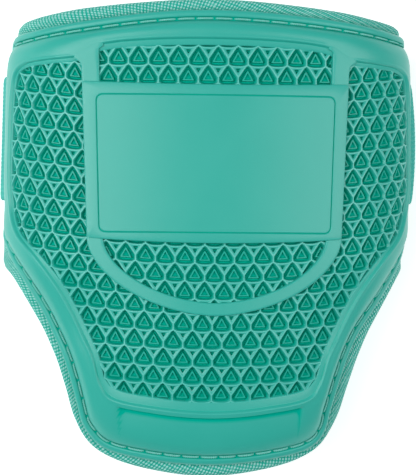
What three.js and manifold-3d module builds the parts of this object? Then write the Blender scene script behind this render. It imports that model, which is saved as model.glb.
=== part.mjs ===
// A batter's elbow guard, lying face up on its strap: a moulded rubber shell over a padded body.
// Millimetres, +Z up, +Y along the arm towards the upper edge, X across.
//
// The shell is drawn on a flat pattern and wrapped on the curved guard. A point of the pattern has
// three coordinates: across (arc length from the middle line), along (the Y of the guard) and level
// (height over the tops of the lattice ribs, measured square to the surface).
import * as THREE from "three";
import { mergeVertices } from "three/addons/utils/BufferGeometryUtils.js";
import Module from "manifold-3d";

const wasm = await Module();
wasm.setup();

// Curved form. The front arc runs into a tighter side arc, and that into a straight side wall.
const RIB_HEIGHT = 53.6;
const WALL_ANGLE = THREE.MathUtils.degToRad(86);
const SECTIONS = [
  { along: 90, frontRadius: 226, frontAngle: 12, sideRadius: 28.6 },
  { along: 45, frontRadius: 226, frontAngle: 12, sideRadius: 30.4 },
  { along: 12, frontRadius: 226, frontAngle: 12, sideRadius: 31 },
  { along: -3, frontRadius: 222, frontAngle: 12, sideRadius: 36 },
  { along: -38, frontRadius: 130, frontAngle: 10, sideRadius: 85 },
  { along: -90, frontRadius: 95, frontAngle: 10, sideRadius: 75 },
];
const TONGUE_START = -25;
const TONGUE_RUN = 60;
const TONGUE_SLOPE = Math.tan(THREE.MathUtils.degToRad(24));

// Where the middle of the pattern lies, so that the whole guard stands over the origin.
const MIDDLE = { across: -2.35, along: 0.62 };

// Levels over the rib tops.
const BORDER_LEVEL = 1.0;
const BAND_LEVEL = 0.8;
const PLATE_LEVEL = 1.4;
const GROOVE_LEVEL = 0.9;
const FLANGE_LEVEL = -1.9;
const POCKET_FLOOR = -2.8;
const DISH_FLOOR = -1.6;
const SLAB_BACK = -2.3;
const SHELL_BACK = -3.8;
const PAD_FRONT = -4.1;
const PAD_BACK = -12.1;
const CUT_CLEARANCE = 1;

// Widths on the pattern.
const FLANGE_WIDTH = 3;
const SHOULDER_FOOT = 2;
const SHOULDER_TOP = 5.5;
const FIELD_MARGIN = 0.5;

// Right half of each outline on the pattern, from the middle of the top to the middle of the bottom.
const HUB = { across: 0, along: 10 };
const SPOKES_PER_POINT = 2;
const SEAM = [
  { across: 0, along: 76.8 },
  { across: 30, along: 75.2 },
  { across: 57, along: 72 },
  { across: 69, along: 70.3 },
  { across: 80, along: 68.6 },
  { across: 87, along: 65.4 },
  { across: 89.8, along: 58 },
  { across: 90.5, along: 36 },
  { across: 90.2, along: 13 },
  { across: 88, along: 3 },
  { across: 81.5, along: -5.2 },
  { across: 70.5, along: -16 },
  { across: 58, along: -31 },
  { across: 50, along: -44.4 },
  { across: 45.2, along: -57.2 },
  { across: 42.8, along: -67 },
  { across: 38.5, along: -73.2 },
  { across: 22, along: -77.7 },
  { across: 0, along: -79.3 },
];
const PAD_EDGE = [
  { across: 0, along: 83.6 },
  { across: 30, along: 81.9 },
  { across: 60, along: 78.4 },
  { across: 90, along: 73.8 },
  { across: 102, along: 69.5 },
  { across: 107, along: 62 },
  { across: 107.2, along: 34 },
  { across: 107.62, along: 2 },
  { across: 104, along: -6.5 },
  { across: 95, along: -10.5 },
  { across: 83.5, along: -15.5 },
  { across: 68.4, along: -31 },
  { across: 61.4, along: -42 },
  { across: 56.4, along: -55 },
  { across: 52.6, along: -66.5 },
  { across: 46.5, along: -76 },
  { across: 36, along: -82 },
  { across: 20, along: -85.4 },
  { across: 0, along: -87 },
];
const FIELD_EDGE = [
  { across: 0, along: 68.7 },
  { across: 38, along: 67.4 },
  { across: 42.5, along: 66 },
  { across: 47, along: 62.4 },
  { across: 60, along: 60.8 },
  { across: 72.5, along: 58.2 },
  { across: 76.8, along: 50 },
  { across: 77, along: 27 },
  { across: 74.8, along: 10 },
  { across: 68.6, along: 2.6 },
  { across: 59.3, along: -5.2 },
  { across: 53.5, along: -14.8 },
  { across: 48, along: -25.5 },
  { across: 43.4, along: -38.5 },
  { across: 41.5, along: -51 },
  { across: 38, along: -55 },
  { across: 20, along: -59 },
  { across: 0, along: -61 },
];

// Sections of the slab that holds the lattice, under the border all round. Below the bend it curves.
const SLAB_BEND = 5;
const SLAB_STEPS = [0, 0.25, 0.5, 0.75, 1];
const LATTICE_SLAB = [
  { across: 0, bottom: -63, top: 70.4 },
  { across: 17, bottom: -61.4, top: 70 },
  { across: 34, bottom: -58.2, top: 69 },
  { across: 44, bottom: -42, top: 67.2 },
  { across: 50, bottom: -25, top: 64.6 },
  { across: 56, bottom: -13.5, top: 63.3 },
  { across: 62, bottom: -6, top: 62.4 },
  { across: 67.6, bottom: -1.6, top: 61.5 },
  { across: 73.5, bottom: 5, top: 59.4 },
  { across: 78.5, bottom: 14, top: 50 },
];

// Upright bars and the U band that joins them below the plate.
const BAR_TOP = 68;
const BAR_OUTER = { foot: 45, lean: 0.04 };
const BAR_INNER = { foot: 39.3, lean: 0.045 };
const BAND_OUTER_DEPTH = 27.3;
const BAND_INNER_DEPTH = 22.8;
const BAND_POWER = 1.8;
const BAND_STEPS = 26;

// Plain front plate with its frame groove, and the sunk lower plate.
const PLATE = { bottom: -2, top: 53.3, halfWidth: 43.6, bow: 0.0009, steps: 8 };
const GROOVE = { bottom: 1.7, top: 49.6, halfWidth: 40.8, corner: 2.2, width: 0.8 };
const LOWER_PLATE = { halfWidth: 35, sunk: 0.7, steps: 10, sideFade: 4 };
const LOWER_PLATE_TOP = { along: -63, bow: 0.0037 };
const LOWER_PLATE_BOTTOM = { along: -74, bow: 0.006, lift: 0.1 };
const CORNER_STEPS = 3;

// Lattice fields: up-pointing triangular pockets in rows, every second row with one on the middle line.
const CELL_PITCH = 6.9;
const CELL_WIDTH = 5.8;
const RIB_WIDTH = 0.5;
const SMALLEST_POCKET = 0.22;
const OUTER_FIELD = { firstRow: -69.37, rowHeight: 6, rows: 22, smile: 0.00108, reach: 12 };
const TOP_WINDOW = { firstRow: 54.3, rowHeight: 6.6, rows: 2, smile: 0, reach: 7 };
const LOWER_WINDOW = { firstRow: -21.6, rowHeight: 6.2, rows: 4, smile: 0.0011, reach: 6 };
const TOP_WINDOW_EDGE = { bottom: 54.2, top: 68.2, halfWidth: 41.4, corner: 2.5 };

// Rolled edge of the pad: share of the way from the shell's edge to the pad's outline, and level.
const PAD_ROLL = [
  { reach: 0.5, level: -2.8 },
  { reach: 0.88, level: -3.9 },
  { reach: 1, level: -7 },
  { reach: 0.62, level: -11.4 },
  { reach: -0.3, level: PAD_BACK },
];

// Elastic strap: from under the shell's side edges it bows out, turns under and lies on the floor.
// It bows out further on the right, and its edges are drawn in where it is stretched most.
const STRAP = { bottom: 12.9, top: 57.7, thickness: 1.8, startAcross: 94.6, edgeEase: 1.3 };
const STRAP_OUTERMOST = { left: 72.7, right: 77.4 };
const STRAP_BOW = { startOut: 0.4, startDown: 2, endDown: 2.4, steps: 5 };
const STRAP_TURN = { radius: 3.8, steps: 4 };
const STRAP_FLOOR_STEPS = 4;
const STRAP_WIDTHS = [-1, -0.7, 0.7, 1];
const STRAP_PRESS = { depth: 2.8, fade: 6, from: 90, to: 102 };

function between(low, high, value) {
  const t = THREE.MathUtils.clamp((value - low) / (high - low), 0, 1);
  return t * t * (3 - 2 * t);
}

function sectionAt(along) {
  const below = SECTIONS.findIndex((row) => row.along <= along);
  const lower = SECTIONS[Math.max(below, 1)];
  const upper = SECTIONS[Math.max(below, 1) - 1];
  const t = between(lower.along, upper.along, along);
  const mix = (name) => THREE.MathUtils.lerp(lower[name], upper[name], t);
  return {
    front: mix("frontRadius"),
    turn: THREE.MathUtils.degToRad(mix("frontAngle")),
    side: mix("sideRadius"),
  };
}

function tongueDrop(along) {
  const past = Math.max(TONGUE_START - along, 0);
  const curved = Math.min(past, TONGUE_RUN);
  return TONGUE_SLOPE * ((curved * curved) / (2 * TONGUE_RUN) + past - curved);
}

// A point on the rib surface.
function onSurface(across, along) {
  const { front, turn, side } = sectionAt(along);
  const arc = Math.abs(across);
  const frontRun = front * turn;
  const sideRun = side * (WALL_ANGLE - turn);
  const frontAngle = Math.min(arc / front, turn);
  const sideAngle = THREE.MathUtils.clamp(turn + (arc - frontRun) / side, turn, WALL_ANGLE);
  const wall = Math.max(arc - frontRun - sideRun, 0);
  const out =
    front * Math.sin(frontAngle) +
    side * (Math.sin(sideAngle) - Math.sin(turn)) +
    wall * Math.cos(WALL_ANGLE);
  const down =
    front * (1 - Math.cos(frontAngle)) +
    side * (Math.cos(turn) - Math.cos(sideAngle)) +
    wall * Math.sin(WALL_ANGLE);
  return new THREE.Vector3(
    MIDDLE.across + Math.sign(across) * out,
    MIDDLE.along + along,
    RIB_HEIGHT - down - tongueDrop(along),
  );
}

// A point at a level over the rib surface.
function wrap(across, along, level) {
  const step = 0.05;
  const sideways = onSurface(across + step, along).sub(onSurface(across - step, along));
  const lengthways = onSurface(across, along + step).sub(onSurface(across, along - step));
  const normal = sideways.cross(lengthways).normalize();
  return onSurface(across, along).addScaledVector(normal, level);
}

// A closed mesh through loops of equal count, either closed on itself or capped at both ends.
// The diagonal of each four-cornered face may lean either way, so that stacked faces can match.
function loft(loops, { closed = false, leanBack = false } = {}) {
  const count = loops[0].length;
  const points = loops.flat();
  const index = [];
  const last = closed ? loops.length : loops.length - 1;
  for (let row = 0; row < last; row++) {
    for (let i = 0; i < count; i++) {
      const next = (i + 1) % count;
      const here = row * count;
      const there = ((row + 1) % loops.length) * count;
      index.push(here + i, here + next, there + (leanBack ? i : next));
      index.push((leanBack ? here + next : here + i), there + next, there + i);
    }
  }
  if (!closed) {
    for (const [row, flip] of [[0, true], [loops.length - 1, false]]) {
      const middle = new THREE.Vector3();
      loops[row].forEach((point) => middle.addScaledVector(point, 1 / count));
      points.push(middle);
      for (let i = 0; i < count; i++) {
        const edge = [row * count + i, row * count + ((i + 1) % count)];
        index.push(...(flip ? edge.reverse() : edge), points.length - 1);
      }
    }
  }
  return new THREE.BufferGeometry().setFromPoints(points).setIndex(index);
}

function toSolid(geometry) {
  const bare = geometry.clone();
  bare.deleteAttribute("normal");
  bare.deleteAttribute("uv");
  const merged = mergeVertices(bare, 1e-4);
  const vertProperties = Float32Array.from(merged.attributes.position.array);
  const triVerts = Uint32Array.from(merged.index.array);
  return new wasm.Manifold(new wasm.Mesh({ numProp: 3, vertProperties, triVerts }));
}

function toGeometry(solid) {
  const { vertProperties, triVerts } = solid.getMesh();
  const geometry = new THREE.BufferGeometry();
  geometry.setAttribute("position", new THREE.BufferAttribute(vertProperties, 3));
  geometry.setIndex(new THREE.BufferAttribute(triVerts, 1));
  return geometry;
}

// Outlines: a smooth closed line through a half table and its mirror, as points on the pattern.
function closedOutline(half, stepsPerPoint) {
  const right = half.map((row) => new THREE.Vector3(row.across, row.along, 0));
  const left = half.slice(1, -1).reverse().map((row) => new THREE.Vector3(-row.across, row.along, 0));
  const curve = new THREE.CatmullRomCurve3([...right, ...left], true, "centripetal");
  const count = (right.length + left.length) * stepsPerPoint;
  return curve.getPoints(count).slice(0, count);
}

// The outline moved outwards by a width, square to itself.
function offsetOutline(outline, width) {
  return outline.map((point, i) => {
    const before = outline[(i + outline.length - 1) % outline.length];
    const after = outline[(i + 1) % outline.length];
    const run = after.clone().sub(before).normalize();
    return new THREE.Vector3(point.x - run.y * width, point.y + run.x * width, 0);
  });
}

// Where the rays from the hub through the spokes cross another outline.
function atSpokes(outline, spokes) {
  return spokes.map((spoke) => {
    const ray = new THREE.Vector2(spoke.x - HUB.across, spoke.y - HUB.along);
    for (let i = 0; i < outline.length; i++) {
      const a = outline[i];
      const b = outline[(i + 1) % outline.length];
      const sideA = ray.x * (a.y - HUB.along) - ray.y * (a.x - HUB.across);
      const sideB = ray.x * (b.y - HUB.along) - ray.y * (b.x - HUB.across);
      const t = sideA / (sideA - sideB);
      const hit = a.clone().lerp(b, t);
      const ahead = ray.x * (hit.x - HUB.across) + ray.y * (hit.y - HUB.along) > 0;
      if (sideA * sideB <= 0 && sideA !== sideB && ahead) return hit;
    }
    return spoke.clone();
  });
}

function towardsHub(outline, share) {
  const hub = new THREE.Vector3(HUB.across, HUB.along, 0);
  return outline.map((point) => hub.clone().lerp(point, share));
}

function ringAt(outline, level) {
  return outline.map((point) => wrap(point.x, point.y, level));
}

// The spokes run clockwise seen from above, so rings from the front to the back give faces that point out.
const seam = closedOutline(SEAM, SPOKES_PER_POINT);
const flangeEdge = offsetOutline(seam, FLANGE_WIDTH);
const fieldEdge = atSpokes(closedOutline(FIELD_EDGE, SPOKES_PER_POINT * 2), seam);
const BACK_SHARES = [0.9, 0.74, 0.53, 0.25];
const FLOOR_SHARES = [0.2, 0.5, 0.72, 0.87];

function shellDish() {
  return loft([
    ...FLOOR_SHARES.map((share) => ringAt(towardsHub(fieldEdge, share), DISH_FLOOR)),
    ringAt(fieldEdge, DISH_FLOOR),
    ringAt(fieldEdge, BORDER_LEVEL),
    ringAt(offsetOutline(seam, -SHOULDER_TOP), BORDER_LEVEL),
    ringAt(offsetOutline(seam, -SHOULDER_FOOT), FLANGE_LEVEL),
    ringAt(flangeEdge, FLANGE_LEVEL),
    ringAt(flangeEdge, SHELL_BACK),
    ...BACK_SHARES.map((share) => ringAt(towardsHub(flangeEdge, share), SHELL_BACK)),
  ]);
}

// The slab that the pockets are cut in fills the dish, in sections from side to side.
function latticeSlab() {
  const right = LATTICE_SLAB.slice(1).map((row) => ({ ...row }));
  const left = right.map((row) => ({ ...row, across: -row.across })).reverse();
  const sections = [...left, LATTICE_SLAB[0], ...right];
  return loft(
    sections.map(({ across, bottom, top }) => {
      const bend = Math.max(SLAB_BEND, bottom + 1);
      const lengths = SLAB_STEPS.map((t) => THREE.MathUtils.lerp(bottom, bend, t));
      const face = [...lengths, top];
      const front = face.map((along) => wrap(across, along, 0));
      const back = face.map((along) => wrap(across, along, SLAB_BACK));
      return [...front.reverse(), ...back];
    }),
  );
}

// Cross-section of a raised band between two pattern points, sunk into the dish below it.
function bandLoop(first, second, low, high) {
  return [
    wrap(first.x, first.y, low),
    wrap(second.x, second.y, low),
    wrap(second.x, second.y, high),
    wrap(first.x, first.y, high),
  ];
}

function bandEdge(bar, depth, t) {
  const angle = Math.PI * t;
  const power = 2 / BAND_POWER;
  const across = bar.foot * Math.sign(Math.cos(angle)) * Math.abs(Math.cos(angle)) ** power;
  return new THREE.Vector2(across, -depth * Math.sin(angle) ** power);
}

function barEdge(bar, along, side) {
  return new THREE.Vector2(side * (bar.foot + bar.lean * along), along);
}

function barsAndBand() {
  const uprights = [BAR_TOP, PLATE.top, PLATE.top / 2];
  const pairs = uprights.map((along) => [barEdge(BAR_OUTER, along, 1), barEdge(BAR_INNER, along, 1)]);
  for (let step = 0; step <= BAND_STEPS; step++) {
    const t = step / BAND_STEPS;
    pairs.push([bandEdge(BAR_OUTER, BAND_OUTER_DEPTH, t), bandEdge(BAR_INNER, BAND_INNER_DEPTH, t)]);
  }
  uprights.reverse().forEach((along) => {
    pairs.push([barEdge(BAR_OUTER, along, -1), barEdge(BAR_INNER, along, -1)]);
  });
  return loft(pairs.map(([outer, inner]) => bandLoop(inner, outer, POCKET_FLOOR, BAND_LEVEL)));
}

function frontPlate() {
  const loops = [];
  for (let step = 0; step <= PLATE.steps; step++) {
    const across = PLATE.halfWidth * ((2 * step) / PLATE.steps - 1);
    const bow = PLATE.bow * across * across;
    const top = new THREE.Vector2(across, PLATE.top + bow / 2);
    const bottom = new THREE.Vector2(across, PLATE.bottom + bow);
    loops.push(bandLoop(bottom, top, POCKET_FLOOR, PLATE_LEVEL));
  }
  return loft(loops);
}

function roundedRectangle({ bottom, top, halfWidth, corner }, grow) {
  const shape = new THREE.Shape();
  const radius = corner + grow;
  const right = halfWidth + grow - radius;
  const high = top + grow - radius;
  const low = bottom - grow + radius;
  shape.absarc(right, high, radius, 0, Math.PI / 2);
  shape.absarc(-right, high, radius, Math.PI / 2, Math.PI);
  shape.absarc(-right, low, radius, Math.PI, Math.PI * 1.5);
  shape.absarc(right, low, radius, Math.PI * 1.5, Math.PI * 2);
  shape.closePath();
  return shape;
}

function frameGroove() {
  const outer = roundedRectangle(GROOVE, GROOVE.width / 2).getPoints(CORNER_STEPS).slice(0, -1);
  const inner = roundedRectangle(GROOVE, -GROOVE.width / 2).getPoints(CORNER_STEPS).slice(0, -1);
  const high = PLATE_LEVEL + CUT_CLEARANCE;
  const loops = outer.map((point, i) => bandLoop(point, inner[i], GROOVE_LEVEL, high));
  return loft(loops, { closed: true });
}

function lowerPlateCut() {
  const { halfWidth, sunk, steps, sideFade } = LOWER_PLATE;
  const edgeAt = ({ along, bow }, across) => [across, along + bow * across * across];
  const loops = [];
  for (let step = 0; step <= steps; step++) {
    const across = halfWidth * ((2 * step) / steps - 1);
    const fade = 1 - Math.abs(across / halfWidth) ** sideFade;
    const upper = edgeAt(LOWER_PLATE_TOP, across);
    const lower = edgeAt(LOWER_PLATE_BOTTOM, across);
    loops.push([
      wrap(...upper, BORDER_LEVEL - sunk * fade),
      wrap(...upper, BORDER_LEVEL + CUT_CLEARANCE),
      wrap(...lower, BORDER_LEVEL + CUT_CLEARANCE),
      wrap(...lower, BORDER_LEVEL + LOWER_PLATE_BOTTOM.lift),
    ]);
  }
  return loft(loops);
}

// Flat prisms on the pattern.
function prism(shape, low, high) {
  const geometry = new THREE.ExtrudeGeometry(shape, { depth: high - low, bevelEnabled: false });
  geometry.translate(0, 0, low);
  return toSolid(geometry);
}

function pocketShape(across, along, height) {
  return new THREE.Shape([
    new THREE.Vector2(across - CELL_WIDTH / 2, along),
    new THREE.Vector2(across + CELL_WIDTH / 2, along),
    new THREE.Vector2(across, along + height),
  ]);
}

function pockets(field, region) {
  const { firstRow, rowHeight, rows, smile, reach } = field;
  const high = BORDER_LEVEL + CUT_CLEARANCE;
  const height = rowHeight - RIB_WIDTH;
  const prisms = [];
  for (let row = 0; row < rows; row++) {
    const shift = row % 2 === 0 ? 0.5 : 0;
    for (let column = -reach; column <= reach; column++) {
      const across = CELL_PITCH * (column + shift);
      const along = firstRow + rowHeight * row + smile * across * across;
      prisms.push(prism(pocketShape(across, along, height), POCKET_FLOOR, high));
    }
  }
  const smallest = (SMALLEST_POCKET * CELL_WIDTH * rowHeight * (high - POCKET_FLOOR)) / 2;
  const clipped = wasm.Manifold.union(prisms).intersect(region).decompose();
  return wasm.Manifold.union(clipped.filter((pocket) => pocket.volume() > smallest));
}

function patternRegion(points) {
  const shape = new THREE.Shape(points.map((point) => new THREE.Vector2(point.x, point.y)));
  return prism(shape, POCKET_FLOOR - CUT_CLEARANCE, BORDER_LEVEL + 2 * CUT_CLEARANCE);
}

// The outline of one edge of the bars and the band, open at the top past the fields and grown by a margin.
function barsAndBandOutline(bar, depth, grow) {
  const past = BAR_TOP + BAND_OUTER_DEPTH;
  const points = [barEdge(bar, past, 1)];
  for (let step = 0; step <= BAND_STEPS; step++) {
    points.push(bandEdge(bar, depth, step / BAND_STEPS));
  }
  points.push(barEdge(bar, past, -1));
  return points.map((point) => new THREE.Vector2(point.x + Math.sign(point.x) * grow, point.y - grow));
}

function outerFieldRegion() {
  const edge = offsetOutline(closedOutline(FIELD_EDGE, SPOKES_PER_POINT), -FIELD_MARGIN);
  const inside = patternRegion(barsAndBandOutline(BAR_OUTER, BAND_OUTER_DEPTH, FIELD_MARGIN));
  return patternRegion(edge).subtract(inside);
}

function topWindowRegion() {
  return patternRegion(roundedRectangle(TOP_WINDOW_EDGE, 0).getPoints(CORNER_STEPS));
}

function lowerWindowRegion() {
  const inside = barsAndBandOutline(BAR_INNER, BAND_INNER_DEPTH, -FIELD_MARGIN);
  return patternRegion(inside.filter((point) => point.y < PLATE.bottom));
}

// Wraps a flat solid of the pattern onto the guard.
function wrapped(solid) {
  const mesh = solid.getMesh();
  const points = mesh.vertProperties;
  for (let i = 0; i < points.length; i += 3) {
    wrap(points[i], points[i + 1], points[i + 2]).toArray(points, i);
  }
  return new wasm.Manifold(new wasm.Mesh({ numProp: 3, vertProperties: points, triVerts: mesh.triVerts }));
}

function shell() {
  const bodies = [shellDish(), latticeSlab(), barsAndBand(), frontPlate()];
  const raised = wasm.Manifold.union(bodies.map(toSolid));
  const cells = [
    pockets(OUTER_FIELD, outerFieldRegion()),
    pockets(TOP_WINDOW, topWindowRegion()),
    pockets(LOWER_WINDOW, lowerWindowRegion()),
  ];
  const cuts = [toSolid(frameGroove()), toSolid(lowerPlateCut()), ...cells.map(wrapped)];
  return toGeometry(cuts.reduce((body, cut) => body.subtract(cut), raised));
}

// How far the strap presses the pad in at a point of the pattern.
function strapPress(point) {
  const { depth, fade, from, to } = STRAP_PRESS;
  const above = between(STRAP.bottom - fade, STRAP.bottom, point.y);
  const below = between(STRAP.top + fade, STRAP.top, point.y);
  return depth * above * below * between(from, to, Math.abs(point.x));
}

// Padded body: a thick wall behind the shell, with a rolled edge past the shell's.
function pad() {
  const edge = atSpokes(closedOutline(PAD_EDGE, SPOKES_PER_POINT), seam);
  const rolled = PAD_ROLL.map(({ reach, level }) =>
    flangeEdge.map((point, i) => {
      const place = point.clone().lerp(edge[i], reach);
      const pressed = strapPress(place);
      return wrap(place.x - Math.sign(place.x) * pressed, place.y, level - pressed);
    }),
  );
  const wall = (shares, level) => shares.map((share) => ringAt(towardsHub(flangeEdge, share), level));
  const front = wall([...BACK_SHARES].reverse(), PAD_FRONT);
  const back = wall(BACK_SHARES.slice(1), PAD_BACK);
  return loft([...front, ringAt(flangeEdge, PAD_FRONT), ...rolled, ...back], { leanBack: true });
}

// One side of the strap's route, from the shell's edge to the floor, out from the middle line and up.
function strapSide(outermost) {
  const half = STRAP.thickness / 2;
  const start = onSurface(STRAP.startAcross, STRAP.bottom);
  const first = new THREE.Vector2(start.x - MIDDLE.across + FLANGE_LEVEL - half, start.z);
  const turnHeight = half + STRAP_TURN.radius;
  const bow = new THREE.CubicBezierCurve(
    first,
    new THREE.Vector2(first.x + STRAP_BOW.startOut, first.y - STRAP_BOW.startDown),
    new THREE.Vector2(outermost, turnHeight + STRAP_BOW.endDown),
    new THREE.Vector2(outermost, turnHeight),
  );
  const side = bow.getPoints(STRAP_BOW.steps);
  for (let step = 1; step <= STRAP_TURN.steps; step++) {
    const angle = (Math.PI / 2) * (step / STRAP_TURN.steps);
    const out = outermost - STRAP_TURN.radius * (1 - Math.cos(angle));
    side.push(new THREE.Vector2(out, turnHeight - STRAP_TURN.radius * Math.sin(angle)));
  }
  return side;
}

function strap() {
  const right = strapSide(STRAP_OUTERMOST.right);
  const left = strapSide(STRAP_OUTERMOST.left)
    .map((point) => new THREE.Vector2(-point.x, point.y))
    .reverse();
  const floor = [];
  for (let step = 1; step < STRAP_FLOOR_STEPS; step++) {
    floor.push(right[right.length - 1].clone().lerp(left[0], step / STRAP_FLOOR_STEPS));
  }
  const route = [...right, ...floor, ...left];
  const middle = (STRAP.bottom + STRAP.top) / 2;
  const sections = route.map((point, i) => {
    const before = route[Math.max(i - 1, 0)];
    const after = route[Math.min(i + 1, route.length - 1)];
    const run = after.clone().sub(before).normalize();
    const normal = new THREE.Vector2(-run.y, run.x).multiplyScalar(STRAP.thickness / 2);
    const outermost = point.x > 0 ? STRAP_OUTERMOST.right : STRAP_OUTERMOST.left;
    const bowed = between(route[0].x, outermost, Math.abs(point.x)) * Math.sign(point.x);
    const face = (offset) => (share) => {
      const across = point.x + normal.x * offset - STRAP.edgeEase * bowed * share ** 4;
      const along = middle + share * (STRAP.top - middle);
      return new THREE.Vector3(MIDDLE.across + across, MIDDLE.along + along, point.y + normal.y * offset);
    };
    return [...STRAP_WIDTHS.map(face(-1)), ...[...STRAP_WIDTHS].reverse().map(face(1))];
  });
  return loft(sections);
}

const group = new THREE.Group();

function addPiece(name, geometry, color, roughness) {
  geometry.computeVertexNormals();
  const material = new THREE.MeshStandardMaterial({ color, roughness, metalness: 0 });
  const mesh = new THREE.Mesh(geometry, material);
  mesh.name = name;
  group.add(mesh);
}

addPiece("shell", shell(), 0x4fb2a4, 0.45);
addPiece("pad", pad(), 0x4aa99a, 0.9);
addPiece("strap", strap(), 0x63b7aa, 0.9);

export default group;
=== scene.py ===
# %% [markdown]
# # A batter's elbow guard
#
# The guard is a moulded rubber shell, sewn round its edge to a padded body in a woven cover, with an
# elastic strap behind the arm. It lies face up on a pale floor. This lesson dresses the packed solids:
# every piece but the strap is first drawn flat, as on a paper pattern, and then wrapped on the guard.

# %% Load the frame
import math

import bmesh
import bpy
import numpy as np
from mathutils import Matrix, Vector


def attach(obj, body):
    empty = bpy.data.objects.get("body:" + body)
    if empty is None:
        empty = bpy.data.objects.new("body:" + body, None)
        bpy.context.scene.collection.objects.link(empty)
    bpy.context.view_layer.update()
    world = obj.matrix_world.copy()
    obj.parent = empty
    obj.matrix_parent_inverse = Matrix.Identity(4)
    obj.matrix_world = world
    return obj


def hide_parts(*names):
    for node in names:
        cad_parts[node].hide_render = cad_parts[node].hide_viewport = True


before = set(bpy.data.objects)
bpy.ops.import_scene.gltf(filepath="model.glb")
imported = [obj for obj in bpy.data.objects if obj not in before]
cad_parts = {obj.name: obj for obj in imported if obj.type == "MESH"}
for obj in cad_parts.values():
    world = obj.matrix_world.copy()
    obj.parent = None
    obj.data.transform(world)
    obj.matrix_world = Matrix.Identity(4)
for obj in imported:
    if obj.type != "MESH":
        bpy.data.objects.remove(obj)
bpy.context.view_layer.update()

# %% [markdown]
# ## The camera
#
# The camera comes first, because every later choice is judged through it. The photograph looks almost
# straight down on the front plate with a long lens. It leans a little to the left, so that the right-hand
# wall of every pocket shows, and it is turned by half a degree. An orthographic camera would come close,
# but a real distance keeps what lies nearer a little larger, as the photograph does.

# %% Camera
MM = 0.001
PHOTO_HEIGHT = 475
MM_PER_PIXEL = 0.348
PLATE_DISTANCE = 900 * MM
VIEW_DISTANCE = 913.6 * MM
VIEW_YAW = math.radians(5.5)
VIEW_ROLL = math.radians(0.5)
VIEW_AIM = Vector((-3.16, 0.62, 39.9)) * MM
SENSOR = 36
NEAREST_SEEN = 10 * MM

bpy.ops.object.select_all(action="DESELECT")
bpy.ops.object.camera_add()
camera = bpy.context.object
camera.name = "photo_camera"
camera.data.sensor_fit = "VERTICAL"
camera.data.sensor_height = SENSOR
camera.data.lens = SENSOR * PLATE_DISTANCE / (MM_PER_PIXEL * MM * PHOTO_HEIGHT)
camera.data.clip_start = NEAREST_SEEN
camera.location = VIEW_AIM + VIEW_DISTANCE * Vector((-math.sin(VIEW_YAW), 0, math.cos(VIEW_YAW)))
camera_turn = Matrix.Rotation(-VIEW_YAW, 3, "Y") @ Matrix.Rotation(VIEW_ROLL, 3, "Z")
camera.rotation_euler = camera_turn.to_euler()
bpy.context.scene.camera = camera
print("lens", round(camera.data.lens, 1), "mm")

# %% [markdown]
# ## From the flat pattern to the curved guard
#
# A point of the pattern has three numbers in millimetres: across (round the arm from the middle line),
# along (towards the upper edge) and level (over the tops of the lattice ribs). The guard's section is a
# shallow front arc, a tighter side arc and a straight wall, and the lower tongue bends down. A Curve
# modifier could roll up one piece. One formula for all points keeps every piece on the same surface,
# which matters where the pieces meet.

# %% The guard's section
RIB_HEIGHT = 53.6
MIDDLE = (-2.35, 0.62)
WALL_ANGLE = math.radians(86)
TONGUE_START = -25
TONGUE_RUN = 60
TONGUE_SLOPE = math.tan(math.radians(24))
# Columns: along, front radius, front angle in degrees, side radius.
SECTIONS = np.array([
    (-90, 95, 10, 75),
    (-38, 130, 10, 85),
    (-3, 222, 12, 36),
    (12, 226, 12, 31),
    (45, 226, 12, 30.4),
    (90, 226, 12, 28.6),
])
# The side walls swell a little, more on the right: how far, where across, over what spread, and from where.
SWELL = {-1: 1.2, 1: 2.9}
SWELL_PLACE = 76
SWELL_SPREAD = 12
SWELL_RISE = (-8, 22)


def between(low, high, value):
    """Eases from 0 at low to 1 at high."""
    t = np.clip((value - low) / (high - low), 0, 1)
    return t * t * (3 - 2 * t)


def section_at(along):
    """The front radius, front angle and side radius at each place along the guard."""
    row = np.clip(np.searchsorted(SECTIONS[:, 0], along) - 1, 0, len(SECTIONS) - 2)
    lower, upper = SECTIONS[row], SECTIONS[row + 1]
    share = between(lower[:, 0], upper[:, 0], along)[:, None]
    _, front, turn, side = (lower + (upper - lower) * share).T
    return front, np.radians(turn), side


def side_swell(across, along):
    most = np.where(across > 0, SWELL[1], SWELL[-1])
    rise = between(*SWELL_RISE, along)
    return most * rise * np.exp(-(((np.abs(across) - SWELL_PLACE) / SWELL_SPREAD) ** 2))


def tongue_drop(along):
    past = np.maximum(TONGUE_START - along, 0)
    curved = np.minimum(past, TONGUE_RUN)
    return TONGUE_SLOPE * (curved**2 / (2 * TONGUE_RUN) + past - curved)


print("tongue drops", tongue_drop(SECTIONS[:1, 0]).round(1), "mm at its end")

# %% Wrap
SLOPE_STEP = 0.05


def surface(across, along):
    """The place in millimetres of each pattern point at level 0."""
    front, turn, side = section_at(along)
    arc = np.abs(across)
    front_angle = np.minimum(arc / front, turn)
    side_angle = np.clip(turn + (arc - front * turn) / side, turn, WALL_ANGLE)
    wall = np.maximum(arc - front * turn - side * (WALL_ANGLE - turn), 0)
    out = front * np.sin(front_angle) + side * (np.sin(side_angle) - np.sin(turn))
    out = out + wall * math.cos(WALL_ANGLE)
    out = out + side_swell(across, along)
    down = front * (1 - np.cos(front_angle)) + side * (np.cos(turn) - np.cos(side_angle))
    down = down + wall * math.sin(WALL_ANGLE)
    x = MIDDLE[0] + np.sign(across) * out
    return np.stack([x, MIDDLE[1] + along, RIB_HEIGHT - down - tongue_drop(along)], 1)


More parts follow.
